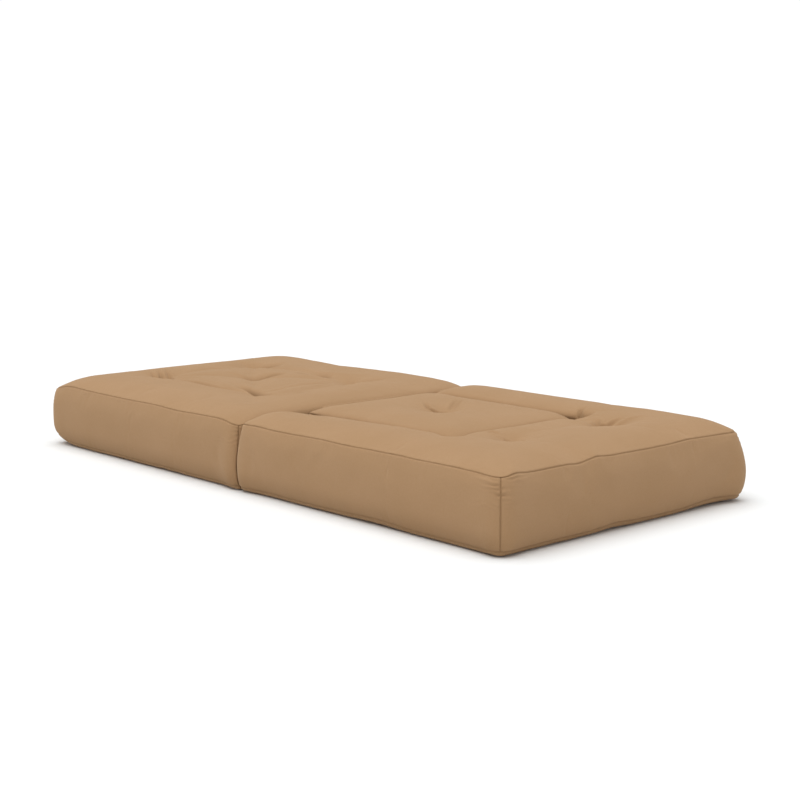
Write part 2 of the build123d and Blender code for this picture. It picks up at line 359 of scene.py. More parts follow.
def bumps(x, y, places):  # small raised or sunk spots: (x, y, height, width)
    lift = np.zeros_like(x)
    for atX, atY, height, width in places:
        lift += height * np.exp(-((x - atX) ** 2 + (y - atY) ** 2) / width ** 2)
    return lift


cover = {
    "widest": 0.42,  # share of the band's height, from the top, where it stands out most
    "lowFall": 0.85,  # how much of that is gone at the lower seam
    "underEdge": 0.026,  # how far in from the lower seam the underside comes to the floor
    "cornerReach": 0.055,  # how far from a corner its pull is felt
    "flareReach": 0.06,  # the same for the underside's flare, a share of the band's
    "flareShare": 0.7,
    "tieRise": 0.010,  # dimple under each tie
    "tieReach": 0.04,
    "edgeFade": 0.02,
    "lumps": [(0.0030, 0.21), (0.0012, 0.07)],  # wander of the upper edge: height, size
    "lowLumps": (0.0026, 0.17),
}


def cornerWeights(x, y, shape):  # how far the corners dip, lift and flare each place
    dip, lift, flare = np.zeros_like(x), np.zeros_like(x), np.zeros_like(x)
    for corner, (cornerDip, cornerLift, cornerFlare) in zip(shape["corners"], shape["cornerPull"]):
        near = np.exp(-(np.hypot(x - corner[0], y - corner[1]) / cover["cornerReach"]) ** 2)
        dip, lift, flare = dip + cornerDip * near, lift + cornerLift * near, flare + cornerFlare * near
    return dip, lift, flare


def bandArch(share):  # how a filled band stands out: quickly under the top seam, then slowly back
    widest = cover["widest"]
    if share < widest:
        return (1 - (1 - share / widest) ** 2) ** 0.6
    return 1 - cover["lowFall"] * ((share - widest) / (1 - widest)) ** 5


def buildCushion(name, shape):
    xs, ys = shape["xs"], shape["ys"]
    u, v = np.meshgrid(xs, ys, indexing="ij")
    x, y = roundCorners(u, v, shape["corners"])
    for atX, atY, alongX, alongY, width in shape.get("pulls", []):
        near = np.exp(-((u - atX) ** 2 + (v - atY) ** 2) / width ** 2)
        x, y = x + alongX * near, y + alongY * near
    loop = loopThrough(xs, ys, shape["outline"])
    li, lj = np.array([i for i, _ in loop]), np.array([j for _, j in loop])
    outline = np.stack([x[li, lj], y[li, lj]], 1)
    ahead, behind = np.roll(outline, -1, 0), np.roll(outline, 1, 0)
    tangent = (ahead - outline) / np.linalg.norm(ahead - outline, axis=1, keepdims=True)
    tangent += (outline - behind) / np.linalg.norm(outline - behind, axis=1, keepdims=True)
    tangent /= np.linalg.norm(tangent, axis=1, keepdims=True)
    out = np.stack([tangent[:, 1], -tangent[:, 0]], 1)

    keep = shape["keep"](0.5 * (u[1:, 1:] + u[:-1, :-1]), 0.5 * (v[1:, 1:] + v[:-1, :-1]))
    crown = shape["crown"](u, v)
    free = 1 - shape["still"](u, v, 0)
    crown = crown * (1 - free * filling["crownLeft"] / bed["crownRise"])
    dip, lift, _ = cornerWeights(x, y, shape)
    top = bed["topSeam"] + crown - dip + bumps(x, y, shape["spots"])
    drawn = tuftDips(x, y, shape["tufts"]) + valleyDips(x, y, shape["valleys"])
    drawn = np.minimum(drawn, crown * 0.96 + 0.0004) * smooth(crown / 0.006)
    top -= drawn
    inset = shape["rim"](u, v)  # distance to the nearest edge
    toFloor = np.clip(inset / cover["underEdge"], 0, 1)
    under = bed["lowerSeam"] * (1 - np.sqrt(1 - (1 - toFloor) ** 2)) + lift
    under += bumps(x, y, shape.get("lifts", [])) * np.exp(-inset / cover["edgeFade"])
    for tie in shape["tufts"]:
        r = np.hypot(x - tie["at"][0], y - tie["at"][1])
        under += cover["tieRise"] * np.clip(1 - r / cover["tieReach"], 0, 1) ** 1.8
    flat = np.stack([x.ravel(), y.ravel(), np.zeros(x.size)], 1)
    (height1, size1), (height2, size2) = cover["lumps"]
    wander = height1 * perlin(flat, size1, shape["seed"]) + height2 * perlin(flat, size2, shape["seed"] + 9)
    top += wander.reshape(x.shape) * np.exp(-inset / 0.05)
    wander = cover["lowLumps"][0] * perlin(flat, cover["lowLumps"][1], shape["seed"] + 5)
    under += np.clip(wander, 0, 1).reshape(x.shape) * np.exp(-inset / cover["edgeFade"])

    gridSize = x.size
    number = np.arange(gridSize).reshape(x.shape)
    height = bed["topSeam"] - bed["lowerSeam"]
    shares = spacedLines(0, height, [0.03, 0.06])[1:-1] / height
    swell = shape["swell"](outline, out)  # how far each place swells out half way down
    _, _, flare = cornerWeights(outline[:, 0], outline[:, 1], shape)
    highEdge, lowEdge = top[li, lj], under[li, lj]
    lowX, highX = shape["limits"]
    rows = []
    for share in shares:
        push = swell * bandArch(share) + flare * smooth(share * 1.5)
        ring = outline + out * push[:, None]
        ring[:, 0] = np.clip(ring[:, 0], lowX, highX)
        rows.append(np.column_stack([ring, highEdge + share * (lowEdge - highEdge)]))
    lowPush = swell * bandArch(1.0) + flare
    x2, y2 = x.copy(), y.copy()
    # the underside flares at its corners as its seam does
    for (cornerX, cornerY, inX, inY, _), (_, _, amount) in zip(shape["corners"], shape["cornerPull"]):
        near = np.exp(-(np.hypot(x - cornerX, y - cornerY) / cover["flareReach"]) ** 2)
        x2 -= inX * cover["flareShare"] * amount * near
        y2 -= inY * cover["flareShare"] * amount * near
    x2[li, lj] = np.clip(x[li, lj] + out[:, 0] * lowPush, lowX, highX)
    y2[li, lj] = y[li, lj] + out[:, 1] * lowPush
    x2 = np.clip(x2, lowX, highX)
    points = np.concatenate([np.stack([x, y, top], -1).reshape(-1, 3),
                             np.stack([x2, y2, under], -1).reshape(-1, 3)] + rows)

    cells = np.argwhere(keep)
    i, j = cells[:, 0], cells[:, 1]
    topFaces = np.stack([number[i, j], number[i + 1, j], number[i + 1, j + 1], number[i, j + 1]], 1)
    rings = [number[li, lj]]
    for k in range(len(shares)):
        rings.append(2 * gridSize + k * len(loop) + np.arange(len(loop)))
    rings.append(number[li, lj] + gridSize)
    bandFaces = []
    for upper, lower in zip(rings, rings[1:]):
        bandFaces.append(np.stack([lower, np.roll(lower, -1), np.roll(upper, -1), upper], 1))
    faces = np.concatenate([topFaces, (topFaces + gridSize)[:, ::-1]] + bandFaces)

    # distance over the cloth to the upper, lower and upright seams, for the steps that follow
    far = np.full(x.size, meshing["noSeam"])
    toCorner = np.full(len(loop), meshing["noSeam"])
    for cornerX, cornerY, inX, inY, radius in shape["corners"]:
        middle = radius * (1 - math.sqrt(0.5))
        away = np.hypot(outline[:, 0] - cornerX - inX * middle, outline[:, 1] - cornerY - inY * middle)
        toCorner = np.minimum(toCorner, away)
    cornerGrid = far.reshape(x.shape).copy()
    cornerGrid[li, lj] = toCorner
    level = np.repeat(shares * height, len(loop))
    distances = {
        "toUpperSeam": np.concatenate([inset.ravel(), far, level]),
        "toLowerSeam": np.concatenate([far, inset.ravel(), height - level]),
        "toCornerSeam": np.concatenate([cornerGrid.ravel(), cornerGrid.ravel(),
                                        np.tile(toCorner, len(shares))]),
    }
    used = np.unique(faces)
    lookup = np.full(len(points), -1)
    lookup[used] = np.arange(len(used))
    mesh = bpy.data.meshes.new(name)
    mesh.from_pydata(points[used].tolist(), [], lookup[faces].tolist())
    for key, values in distances.items():
        mesh.attributes.new(key, "FLOAT", "POINT").data.foreach_set("value", values[used])
    cushion = bpy.data.objects.new(name, mesh)
    scene.collection.objects.link(cushion)
    return cushion


def applyModifiers(piece):
    graph = bpy.context.evaluated_depsgraph_get()
    final = bpy.data.meshes.new_from_object(piece.evaluated_get(graph))
    old = piece.data
    piece.modifiers.clear()
    piece.data = final
    bpy.data.meshes.remove(old)


def subdivide(piece, levels):
    step = piece.modifiers.new("rounding", "SUBSURF")
    step.levels = step.render_levels = levels
    step.boundary_smooth = "PRESERVE_CORNERS"
    bpy.context.view_layer.update()
    applyModifiers(piece)


def readPoints(piece, kind="co"):  # "normal" gives the directions in which the points face
    flat = np.empty(len(piece.data.vertices) * 3)
    piece.data.vertices.foreach_get(kind, flat)
    return flat.reshape(-1, 3)


def readValue(piece, key):
    values = np.empty(len(piece.data.vertices))
    piece.data.attributes[key].data.foreach_get("value", values)
    return values


def writePoints(piece, points):
    piece.data.vertices.foreach_set("co", points.ravel())
    piece.data.update()


filling = {
    "pressure": 2.2,
    "topSlack": 0.013,  # how much larger the top's cloth is than its pattern
    "bandSlack": 0.001,
    "frames": 14,
    "cap": 0.009,  # no point moves further
    "stiffness": 14.0,
    "bending": 0.5,
    "tuftHeld": 0.009,  # radius held at each tuft
    "crownLeft": 0.0052,  # height of the crown that the simulation fills
}


def inflate(piece, shape):  # the cover settles on its filling: a cloth simulation between the seams
    start = readPoints(piece)
    upper, lower = readValue(piece, "toUpperSeam"), readValue(piece, "toLowerSeam")
    x, y, z = start.T
    held = np.where((upper < 0.0012) | (lower < 0.0012) | (z < 0.003), 1.0, 0.0)
    held = np.maximum(held, ((lower < offSeam) & (upper > offSeam)) * 1.0)  # the underside stays put
    for tie in shape["tufts"]:
        r = np.hypot(x - tie["at"][0], y - tie["at"][1])
        held = np.maximum(held, np.where((r < filling["tuftHeld"]) & (z > 0.1), 1.0, 0.0))
    held = np.maximum(held, shape["still"](x, y, z))
    group = piece.vertex_groups.new(name="held")
    for weight in np.unique(np.round(held, 1)):
        if weight > 0:
            group.add(np.flatnonzero(np.round(held, 1) == weight).tolist(), float(weight), "REPLACE")
    step = piece.modifiers.new("filling", "CLOTH")
    cloth = step.settings
    cloth.quality = 6
    cloth.mass = 0.3
    cloth.tension_stiffness = cloth.compression_stiffness = filling["stiffness"]
    cloth.shear_stiffness = 5
    cloth.bending_stiffness = filling["bending"]
    cloth.tension_damping = cloth.compression_damping = 8
    cloth.air_damping = 2
    cloth.use_pressure = True
    cloth.uniform_pressure_force = filling["pressure"]
    loose = piece.vertex_groups.new(name="loose")
    loose.add(np.flatnonzero(upper * (lower > offSeam) > 0.001).tolist(), 1.0, "REPLACE")
    cloth.vertex_group_shrink = "loose"
    cloth.shrink_min, cloth.shrink_max = -filling["bandSlack"], -filling["topSlack"]
    cloth.vertex_group_mass = "held"
    cloth.pin_stiffness = 8
    cloth.effector_weights.gravity = 0
    step.collision_settings.use_collision = False
    step.point_cache.frame_start, step.point_cache.frame_end = 1, filling["frames"]
    for frameNumber in range(1, filling["frames"] + 1):
        scene.frame_set(frameNumber)
    applyModifiers(piece)
    moved = readPoints(piece) - start
    length = np.linalg.norm(moved, axis=1, keepdims=True)
    limit = filling["cap"]
    moved *= np.where(length > 1e-9, limit * np.tanh(length / limit) / np.maximum(length, 1e-9), 1)
    moved *= (1 - held)[:, None]
    writePoints(piece, start + moved)
    piece.vertex_groups.clear()
    scene.frame_set(1)
    print(piece.name, "settled, moved by up to", round(float(length.max()) * 1000, 1), "mm")


def shadeSmooth(piece):
    piece.data.polygons.foreach_set("use_smooth", [True] * len(piece.data.polygons))


seams = {
    "upperDepth": 0.0026,
    "lowerDepth": 0.0030,
    "cornerDepth": 0.0022,
    "width": 0.0011,
    "roll": 0.0002,  # raised cloth beside each seam
    "underRoll": 0.0010,
    "pucker": 0.0008,
    "puckerPitch": 0.012,
    "cornerPitch": 0.0115,  # height of the short folds at the upright seams
    "cornerReach": 0.030,  # how far they run
    "unevenness": [(0.0018, 0.19), (0.0005, 0.045)],  # of the filling: height, size
    "flatFrom": 0.2206,  # the crowns flatten off from here, to stay below the hinge line
    "flatOver": 0.0007,
    "paintedSeamShade": 0.6,  # painted shade down in the seam grooves, over a slightly soiled thread line
    "paintedSeamWidth": 0.0013,
    "paintedCreaseShade": 0.7,  # painted shade down in the creases
    "paintedLowShade": 0.38,  # painted shade on the long sides, darker towards the floor
    "paintedLowShadeTop": 0.070,
}


def dressCushion(piece, shape):  # seam grooves, folds, puckers, small unevenness, and painted shade in seams, creases and low sides
    points, normals = readPoints(piece), readPoints(piece, "normal")
    upper, lower = readValue(piece, "toUpperSeam"), readValue(piece, "toLowerSeam")
    corner = readValue(piece, "toCornerSeam")
    x, y, z = points.T
    seed = shape["seed"]
    push = np.zeros(len(points))
    for away, depth in ((upper, seams["upperDepth"]), (lower, seams["lowerDepth"]),
                        (corner, seams["cornerDepth"])):
        push -= depth * np.exp(-(away / seams["width"]) ** 2)
        push += seams["roll"] * np.exp(-((away - 0.006) / 0.003) ** 2)
    below = (lower < 0.1) & (upper > offSeam)  # the underside's own edge, a roll under the lower seam
    push += np.where(below, seams["underRoll"] * np.exp(-((lower - 0.009) / 0.006) ** 2), 0)
    for away, extra in ((upper, 3), (lower, 4)):
        puckers = perlin(points * np.array([1, 1, 0.2]), seams["puckerPitch"], seed + extra)
        push += seams["pucker"] * puckers * np.exp(-(away / 0.014) ** 2) * smooth(away / 0.003)
    # short folds that run out from the upright seams, strongest near the top
    ripple = np.sin(z * 2 * np.pi / seams["cornerPitch"] + 4.5 * perlin(points, 0.035, seed + 6))
    ripple *= 0.55 + 0.9 * perlin(points * np.array([0.3, 0.3, 1]), 0.016, seed + 8)
    uneven = np.clip(1.1 + 1.6 * perlin(points * np.array([0, 0, 1]), 0.02, seed + 7), 0.3, 2)
    reach = seams["cornerReach"] * uneven
    high = smooth((z - 0.10) / 0.06) * smooth(upper / 0.004)
    places = [(c[0], c[1], amount, 0.12) for c, amount in zip(shape["corners"], shape["cornerPucker"])]
    push += bumps(x, y, places) * ripple * np.exp(-corner / reach) * smooth(corner / 0.003) * high
    (broad, broadSize), (small, smallSize) = seams["unevenness"]
    push += broad * perlin(points, broadSize, seed + 1) * smooth(np.minimum(upper, lower) / 0.05)
    push += small * perlin(points, smallSize, seed + 2)
    top = (upper > 0.004) & (lower > offSeam)
    points = points + normals * push[:, None]
    creases = np.where(top, foldLines(x, y, shape["folds"]), 0)
    points[:, 2] += creases
    points[:, 2] = np.maximum(points[:, 2], 0.0)
    over = points[:, 2] - seams["flatFrom"]
    points[:, 2] -= np.where(over > 0, over - seams["flatOver"] * np.tanh(over / seams["flatOver"]), 0)
    writePoints(piece, points)
    # painted shade, kept on the mesh for the cloth's colour: along the seam grooves, in the creases and low
    # on the long sides
    near = np.minimum(np.minimum(upper, lower), corner)
    line = seams["paintedSeamShade"] * np.exp(-(near / seams["paintedSeamWidth"]) ** 2)
    line = np.maximum(line, seams["paintedCreaseShade"] * smooth(-creases / 0.016))
    # painted shade: the long sides darken towards the floor
    lowSideShade = seams["paintedLowShade"] * normals[:, 1] ** 2 * smooth((seams["paintedLowShadeTop"] - z) / 0.06)
    line = np.maximum(line, np.where(upper > 0.02, lowSideShade, 0))
    piece.data.attributes.new("paintedShade", "FLOAT", "POINT").data.foreach_set("value", line)
    shadeSmooth(piece)


def makeCushion(name, shape, body, parts, lastStep=None):  # parts: the CAD nodes that it stands for
    piece = buildCushion(name, shape)
    inflate(piece, shape)
    subdivide(piece, 1)
    dressCushion(piece, shape)
    if lastStep:
        lastStep(piece)
    piece.data.materials.clear()
    piece.data.materials.append(coverMaterial)
    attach(piece, body)
    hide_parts(*parts)
    print(name, "made:", len(piece.data.polygons), "faces")


def tuft(x, y, depth=0.028, radius=0.085, pleats=7, turn=0.0, pleatDepth=0.0035):
    return {"at": (x, y), "depth": depth, "radius": radius, "pleats": pleats, "turn": turn,
            "pleatDepth": pleatDepth}


halfWidth, sectionLength, face = bed["halfWidth"], bed["sectionLength"], bed["splitFace"]
cornerRadius = 0.035


baseEdges = {"end": 0.13, "split": 0.085, "near": 0.115, "far": 0.09}  # width over which each rises


def baseCrown(u, v):
    return (bed["crownRise"] * shoulder(u + sectionLength, baseEdges["end"])
            * shoulder(-face - u, baseEdges["split"], 0.7)
            * shoulder(v + halfWidth, baseEdges["near"]) * shoulder(halfWidth - v, baseEdges["far"], 0.62))


def boxRim(lowX, highX, halfY):
    def rim(x, y):
        return np.clip(np.minimum(np.minimum(x - lowX, highX - x), halfY - np.abs(y)), 0, None)
    return rim


def outerSwell(endSign, endSwell, sideSwell):  # sides and the free end swell, the split face not
    def swell(outline, out):
        end = np.clip(out[:, 0] * endSign, 0, 1)
        return endSwell * end ** 2 + sideSwell * out[:, 1] ** 2
    return swell


# corners: x, y, x sign inwards, y sign inwards, radius. cornerPull, for each of them: how far its top
# dips, its underside lifts and its band flares. spots: x, y, height, width. lifts: the same for the
# underside's edge. pulls: x, y, shift along x, shift along y, width. The near side is at -Y.
baseCushion = {
    "seed": 11,
    "cornerPull": [(0.014, 0.022, 0.004), (0.012, 0.0, 0.014), (0.008, 0.001, 0.012),
                   (0.003, 0.010, 0.012)],
    "limits": (-math.inf, -face),
    "spots": [(-0.30, -0.45, -0.003, 0.05), (-0.86, -0.45, 0.002, 0.05), (-0.30, 0.34, 0.002, 0.15)],
    "still": lambda x, y, z: 1 - smooth((-x - 0.004) / 0.05),  # the split face and its edge
    "cornerPucker": [0.0010, 0.0014, 0.0010, 0.0008],
    "xs": spacedLines(-sectionLength, -face, [-0.774, -0.529, -0.274]),
    "ys": spacedLines(-halfWidth, halfWidth, [-0.18, 0.0, 0.18]),
    "corners": [(-sectionLength, -halfWidth, 1, 1, cornerRadius),
                (-face, -halfWidth, -1, 1, cornerRadius),
                (-face, halfWidth, -1, -1, cornerRadius),
                (-sectionLength, halfWidth, 1, -1, cornerRadius)],
    "outline": [(-sectionLength, -halfWidth), (-face, -halfWidth), (-face, halfWidth),
                (-sectionLength, halfWidth)],
    "keep": lambda u, v: np.ones(u.shape, bool),
    "crown": baseCrown,
    "rim": boxRim(-sectionLength, -face, halfWidth),
    "swell": outerSwell(-1, 0.010, 0.014),
    "tufts": [tuft(-0.274, -0.18, depth=0.009, radius=0.05, pleats=6, turn=0.4, pleatDepth=0.001),
              tuft(-0.774, -0.18, pleats=8, turn=1.7),
              tuft(-0.774, 0.18, depth=0.018, turn=2.2),
              tuft(-0.274, 0.18, depth=0.022, pleats=6, turn=3.0),
              tuft(-0.529, 0.0, depth=0.015, radius=0.07, turn=0.9)],
    # the near side of each trough is the steeper one
    "valleys": [valley([(-0.774, -0.18), (-0.679, -0.212), (-0.545, -0.211), (-0.416, -0.22),
                        (-0.274, -0.18)], 0.014, 0.032, right=0.022),
                valley([(-0.274, -0.18), (-0.17, -0.15), (-0.19, -0.06), (-0.215, 0.03), (-0.274, 0.18)],
                       0.013, 0.036, right=0.022),
                valley([(-0.774, 0.18), (-0.274, 0.18)], 0.011, 0.034, right=0.024),
                valley([(-0.774, -0.18), (-0.774, 0.18)], 0.010, 0.034),
                valley([(-0.29, -0.175), (-0.235, -0.225), (-0.16, -0.285), (-0.10, -0.33)], 0.013, 0.045),
                valley([(-0.774, -0.18), (-0.529, 0.0), (-0.274, -0.18)], 0.007, 0.03),
                valley([(-0.774, 0.18), (-0.529, 0.0), (-0.274, 0.18)], 0.007, 0.03)],
    "folds": [fold([(-0.872, -0.130), (-0.775, -0.177), (-0.681, -0.226)], 0.010, peak=0.6),
              fold([(-0.872, -0.104), (-0.76, -0.156), (-0.670, -0.210)], 0.009, peak=0.65),
              fold([(-0.874, -0.160), (-0.79, -0.196), (-0.70, -0.240)], 0.005, peak=0.5),
              fold([(-0.66, -0.205), (-0.545, -0.203), (-0.416, -0.215), (-0.36, -0.19)],
                   0.005, 0.006, right=0.02, lip=0.5),
              fold([(-0.395, -0.174), (-0.344, -0.166), (-0.268, -0.182), (-0.212, -0.190),
                    (-0.165, -0.180), (-0.135, -0.130), (-0.150, -0.05)],
                   0.022, 0.014, peak=0.3, right=0.006, lip=0.1),
              fold([(-0.205, -0.199), (-0.153, -0.17), (-0.188, -0.064)], 0.004, 0.006),
              fold([(-0.600, -0.050), (-0.530, 0.020), (-0.505, 0.057), (-0.480, 0.098)],
                   0.013, 0.020, peak=0.8, right=0.006, lip=0.1),
              fold([(-0.775, 0.135), (-0.745, 0.165), (-0.700, 0.210), (-0.665, 0.235)],
                   0.016, 0.030, peak=0.5, right=0.012, lip=0.1),
              fold([(-0.500, 0.122), (-0.427, 0.151), (-0.365, 0.195)],
                   0.016, 0.026, peak=0.65, right=0.012, lip=0.1),
              fold([(-0.245, 0.115), (-0.230, 0.155), (-0.208, 0.193), (-0.200, 0.262)],
                   0.013, 0.028, peak=0.6, right=0.012, lip=0.1)],
}
plainParts = ("top_panel", "boxing", "bottom_panel", "top_wadding", "foam_core", "bottom_wadding")
makeCushion("baseCushion", baseCushion, "base_section", ["base_" + part for part in plainParts])


slotHalf, slotLength = bed["slotHalf"], bed["slotLength"]


def slotDistance(u, v):  # from the opening of the U, outwards
    return np.hypot(np.clip(u - slotLength, 0, None), np.clip(np.abs(v) - slotHalf, 0, None))


foldingEdges = {"split": 0.075, "end": 0.105, "near": 0.115, "far": 0.08, "slot": 0.05, "mouth": 0.05}


def foldingCrown(u, v):
    mouth = smooth(-v / slotHalf) * (1 - smooth((u - 0.22) / 0.25))  # softer by the near arm's end
    slotWidth = foldingEdges["slot"] + foldingEdges["mouth"] * mouth
    return (bed["crownRise"] * shoulder(u - face, foldingEdges["split"], 0.75)
            * shoulder(sectionLength - u, foldingEdges["end"])
            * shoulder(v + halfWidth, foldingEdges["near"])
            * shoulder(halfWidth - v, foldingEdges["far"], 0.6)
            * shoulder(slotDistance(u, v), slotWidth, 0.6))


def foldingRim(x, y):
    return np.minimum(boxRim(face, sectionLength, halfWidth)(x, y), slotDistance(x, y))


def foldingSwell(outline, out):
    inside = (np.abs(outline[:, 1]) < slotHalf + 0.01) & (outline[:, 0] < slotLength + 0.01)
    return np.where(inside, 0, outerSwell(1, 0.016, 0.014)(outline, out))


foldingCushion = {
    "seed": 31,
    "cornerPull": [(0.004, 0.001, 0.012), (0.002, 0.001, 0.008), (0.003, 0.004, 0.019),
                   (0.004, 0.001, 0.012), (0.026, 0.0, 0.0), (0.012, 0.0, 0.0)],
    "pulls": [(slotLength, slotHalf, 0.016, 0.010, 0.035), (slotLength, -slotHalf, 0.012, -0.006, 0.03)],
    "limits": (face, math.inf),
    "spots": [(0.975, -0.40, 0.005, 0.022), (0.98, -0.19, -0.004, 0.03), (0.98, -0.12, 0.004, 0.03),
              (0.98, 0.23, 0.002, 0.05), (0.620, 0.243, -0.030, 0.017), (0.652, 0.180, -0.012, 0.040),
              (0.622, -0.250, -0.012, 0.026), (0.10, -0.25, -0.008, 0.09), (0.05, -0.37, 0.003, 0.05),
              (0.75, 0.33, 0.002, 0.15)],
    "lifts": [(0.98, -0.05, 0.006, 0.06), (0.98, 0.33, 0.008, 0.09), (0.55, -0.45, 0.004, 0.08)],
    "still": lambda x, y, z: np.maximum(1 - smooth((x - 0.004) / 0.05),
                                        1 - smooth(slotDistance(x, y) / 0.03)),
    "cornerPucker": [0.0012, 0.0052, 0.0008, 0.0012, 0, 0],
    "xs": joinLines(spacedLines(face, slotLength), spacedLines(slotLength, sectionLength, [0.735])),
    "ys": joinLines(spacedLines(-halfWidth, -slotHalf), spacedLines(-slotHalf, slotHalf, [-0.171, 0.171]),
                    spacedLines(slotHalf, halfWidth)),
    "corners": [(face, -halfWidth, 1, 1, cornerRadius),
                (sectionLength, -halfWidth, -1, 1, cornerRadius),
                (sectionLength, halfWidth, -1, -1, cornerRadius),
                (face, halfWidth, 1, -1, cornerRadius),
                (face, -slotHalf, 1, -1, 0.055), (face, slotHalf, 1, 1, 0.035)],
    "outline": [(face, -halfWidth), (sectionLength, -halfWidth), (sectionLength, halfWidth),
                (face, halfWidth), (face, slotHalf), (slotLength, slotHalf),
                (slotLength, -slotHalf), (face, -slotHalf)],
    "keep": lambda u, v: ~((u < slotLength) & (np.abs(v) < slotHalf)),
    "crown": foldingCrown,
    "rim": foldingRim,
    "swell": foldingSwell,
    "tufts": [tuft(0.745, -0.171, turn=0.6), tuft(0.754, 0.171, turn=2.6)],
    "valleys": [valley([(0.74, -0.171), (0.72, 0.0), (0.754, 0.171)], 0.007, 0.04),
                valley([(0.670, 0.200), (0.72, 0.176), (0.754, 0.171)], 0.008, 0.030)],
    "folds": [fold([(0.68, -0.19), (0.665, -0.158), (0.704, -0.164)], 0.005),
              fold([(0.71, -0.163), (0.745, -0.167), (0.770, -0.140)], 0.006, peak=0.3),
              fold([(0.686, 0.163), (0.716, 0.167), (0.756, 0.149)], 0.007, peak=0.8, right=0.012),
              fold([(0.752, 0.147), (0.781, 0.172), (0.784, 0.251), (0.803, 0.33)], 0.005, 0.006,
                   peak=0.25, right=0.03),
              fold([(0.690, 0.215), (0.726, 0.182), (0.747, 0.189), (0.759, 0.25)], 0.009, 0.005,
                   peak=0.4, right=0.010),
              fold([(0.640, 0.222), (0.618, 0.236), (0.598, 0.256), (0.588, 0.272), (0.585, 0.296)],
                   0.021, 0.0048, peak=0.45, lip=0.15)],
}
foldingParts = ["top_panel", "boxing", "bottom_panel"]
for layer in ("foam", "top_wadding", "bottom_wadding"):
    foldingParts += [place + "_" + layer for place in ("near_arm", "far_arm", "end")]
makeCushion("foldingCushion", foldingCushion, "folding_section",
            ["folding_" + part for part in foldingParts])


padHalf = slotHalf - bed["padGap"]
padEnd = slotLength - bed["padGap"]


padEdges = {"split": 0.12, "others": 0.07, "fullness": 0.55}


def padCrown(u, v):
    width, power = padEdges["others"], padEdges["fullness"]
    return (bed["crownRise"] * shoulder(u - face, padEdges["split"], 0.72)
            * shoulder(padEnd - u, width, power)
            * shoulder(v + padHalf, width, power) * shoulder(padHalf - v, width, power))


padCushion = {
    "seed": 51,
    "pulls": [(face, -padHalf, 0.0, 0.020, 0.075)],  # this corner is drawn away from the arm
    "cornerPull": [(0.0, 0.0, 0.0), (0.004, 0.0, 0.0), (0.008, 0.0, 0.0), (0.002, 0.0, 0.0)],
    "limits": (face, padEnd),
    "spots": [],
    "still": lambda x, y, z: 1 - smooth(np.minimum(np.minimum(x - face, padEnd - x),
                                                   padHalf - np.abs(y)) / 0.03),
    "cornerPucker": [0.0004, 0.0004, 0.0004, 0.0004],
    "xs": spacedLines(face, padEnd, [0.318]),
    "ys": spacedLines(-padHalf, padHalf, [0.0]),
    "corners": [(face, -padHalf, 1, 1, 0.022), (padEnd, -padHalf, -1, 1, 0.03),
                (padEnd, padHalf, -1, -1, 0.03), (face, padHalf, 1, -1, 0.03)],
    "outline": [(face, -padHalf), (padEnd, -padHalf), (padEnd, padHalf), (face, padHalf)],
    "keep": lambda u, v: np.ones(u.shape, bool),
    "crown": padCrown,
    "rim": boxRim(face, padEnd, padHalf),
    "swell": lambda outline, out: np.zeros(len(outline)),
    "tufts": [tuft(0.318, 0.0, turn=1.2)],
    "valleys": [],
    "folds": [fold([(0.208, 0.04), (0.273, -0.003), (0.299, 0.004), (0.329, 0.027)], 0.009, peak=0.6),
              fold([(0.335, 0.015), (0.296, 0.067), (0.232, 0.159)], 0.006, peak=0.3),
              fold([(0.345, 0.013), (0.281, 0.115), (0.255, 0.156)], 0.005, peak=0.3)],
}


drawnFrom = 0.35  # distance from the split


def drawInPadEnd(piece):  # the far end follows the pad's own swing about the hinge line
    points = readPoints(piece)
    reach = np.sqrt(padEnd ** 2 - (bed["foldHeight"] - np.clip(points[:, 2], 0, bed["topSeam"])) ** 2)
    share = smooth((points[:, 0] - drawnFrom) / (padEnd - drawnFrom))
    points[:, 0] -= (padEnd - reach) * share
    writePoints(piece, points)


makeCushion("centrePad", padCushion, "centre_pad", ["pad_" + part for part in plainParts], drawInPadEnd)


# Heights, and spans along the split: a leaf is sewn down over each side band, and a gusset joins
# the leaves over the split.
hinge = {
    "leafTop": 0.1975,
    "leafBottom": 0.158,
    "leafFrom": 0.0003,  # from the split plane
    "thickness": 0.0011,
    "ridge": 0.2008,
    "shoulder": 0.195,
    "reach": 0.0065,
    "archSteps": 12,
    "spacing": 0.004,
    "wave": 0.0006,
    "wavePitch": 0.017,
    "droop": 0.009,  # each strip hangs lower at both ends
    "droopOver": 0.045,
    "leaves": [("baseHingeLeaf", -1, "base_section", "base_hinge_flange", [(-0.402, 0.402)]),
               ("foldingHingeLeaf", 1, "folding_section", "folding_hinge_flange",
                [(-0.402, -0.286), (0.271, 0.402)]),
               ("padHingeLeaf", 1, "centre_pad", "pad_hinge_flange", [(-0.184, 0.184)])],
    "gussets": [("nearHingeGusset", "folding_section", -0.398, -0.290),
                ("farHingeGusset", "folding_section", 0.275, 0.398),
                ("padHingeGusset", "centre_pad", -0.18, 0.18)],
}


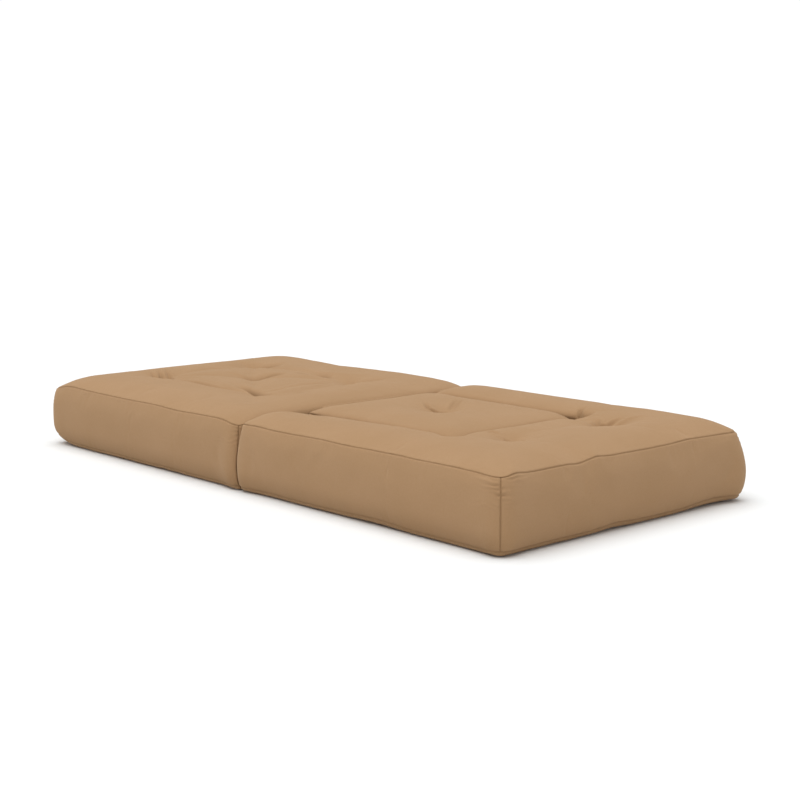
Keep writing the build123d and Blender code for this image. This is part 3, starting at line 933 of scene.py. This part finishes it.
def sewnStrip(name, sections, low, high, wave=0.0):  # a cloth strip with one section, along Y
    count = max(int((high - low) / hinge["spacing"]), 8)
    ys = np.linspace(low, high, count)
    points, faces = [], []
    size = len(sections)
    for y in ys:
        ripple = wave * math.sin(y * 2 * math.pi / hinge["wavePitch"] + 1.7 * math.sin(y * 61))
        inward = min(y - low, high - y)
        droop = hinge["droop"] * float(1 - smooth(inward / hinge["droopOver"]))
        points += [(x, y, z + (ripple - droop) * lift) for x, z, lift in sections]
    for k in range(count - 1):
        for j in range(size):
            following = (j + 1) % size
            faces.append((k * size + j, k * size + following,
                          (k + 1) * size + following, (k + 1) * size + j))
    faces.append(tuple(range(size))[::-1])
    faces.append(tuple((count - 1) * size + j for j in range(size)))
    mesh = bpy.data.meshes.new(name)
    mesh.from_pydata(points, [], faces)
    strip = bpy.data.objects.new(name, mesh)
    scene.collection.objects.link(strip)
    strip.data.materials.append(coverMaterial)
    shadeSmooth(strip)
    return strip


def leafSection(side):
    near, far = side * hinge["leafFrom"], side * (hinge["leafFrom"] + hinge["thickness"])
    return [(near, hinge["leafBottom"], 0), (far, hinge["leafBottom"], 0),
            (far, hinge["leafTop"], 1), (near, hinge["leafTop"], 1)][::side]


def gussetSection():  # an arch over the split, sewn to the leaves
    rise, reach, shoulderZ = hinge["ridge"] - hinge["shoulder"], hinge["reach"], hinge["shoulder"]
    outer, inner = [], []
    for k in range(hinge["archSteps"] + 1):
        turn = math.pi * k / hinge["archSteps"]
        outer.append((-reach * math.cos(turn), shoulderZ + rise * math.sin(turn), 1))
        inner.append((-(reach - hinge["thickness"]) * math.cos(turn),
                      shoulderZ + (rise - hinge["thickness"]) * math.sin(turn), 1))
    return outer + inner[::-1]


def makeHinge():
    for name, side, body, node, spans in hinge["leaves"]:
        strips = [sewnStrip(name, leafSection(side), low, high) for low, high in spans]
        if len(strips) > 1:
            with bpy.context.temp_override(active_object=strips[0], selected_editable_objects=strips):
                bpy.ops.object.join()
        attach(strips[0], body)
        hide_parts(node)
    for name, body, low, high in hinge["gussets"]:
        gusset = sewnStrip(name, gussetSection(), low, high, wave=hinge["wave"])
        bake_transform(gusset)


makeHinge()
print("hinge strips made")


tufting = {
    "colour": "#A58360",
    # painted shade in the grooves of the twill
    "paintedTwillShade": "#8F6F4D",
    "twillMm": 5.0,  # from rib to rib; real tape has about 1 mm, drawn coarser so it shows
}


# Flat cotton tape, woven and then pulled tight: a firm matt surface with a diagonal twill, with painted
# shade in the twill's grooves.
def cottonTape():
    material = bpy.data.materials.new("flat cotton twill tape, camel tan")
    material.use_nodes = True
    tree = material.node_tree
    shader = tree.nodes["Principled BSDF"]
    shader.inputs["Roughness"].default_value = 0.85
    shader.inputs["Specular IOR Level"].default_value = 0.2
    place = addNode(tree, "ShaderNodeTexCoord").outputs["Object"]
    ribs = 2 * math.pi * 1000 / (10 * math.sqrt(3) * tufting["twillMm"])  # as this node counts them
    twill = addNode(tree, "ShaderNodeTexWave", {"Vector": place}, wave_type="BANDS",
                    bands_direction="DIAGONAL", Scale=ribs, Distortion=0.6, Detail=1.0)
    mix = addNode(tree, "ShaderNodeMix", {"Factor": twill.outputs["Fac"]}, data_type="RGBA")
    mix.inputs["A"].default_value = linear(tufting["paintedTwillShade"])
    mix.inputs["B"].default_value = linear(tufting["colour"])
    tree.links.new(mix.outputs["Result"], shader.inputs["Base Color"])
    bump = addNode(tree, "ShaderNodeBump", {"Height": twill.outputs["Fac"]}, Strength=0.4, Distance=0.0004)
    tree.links.new(bump.outputs["Normal"], shader.inputs["Normal"])
    return material


tapeMaterial = cottonTape()
for node in ("base_tuft_ties", "folding_tuft_ties", "pad_tuft_tie"):
    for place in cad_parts[node].material_slots:
        place.material = tapeMaterial
print("tuft ties finished")
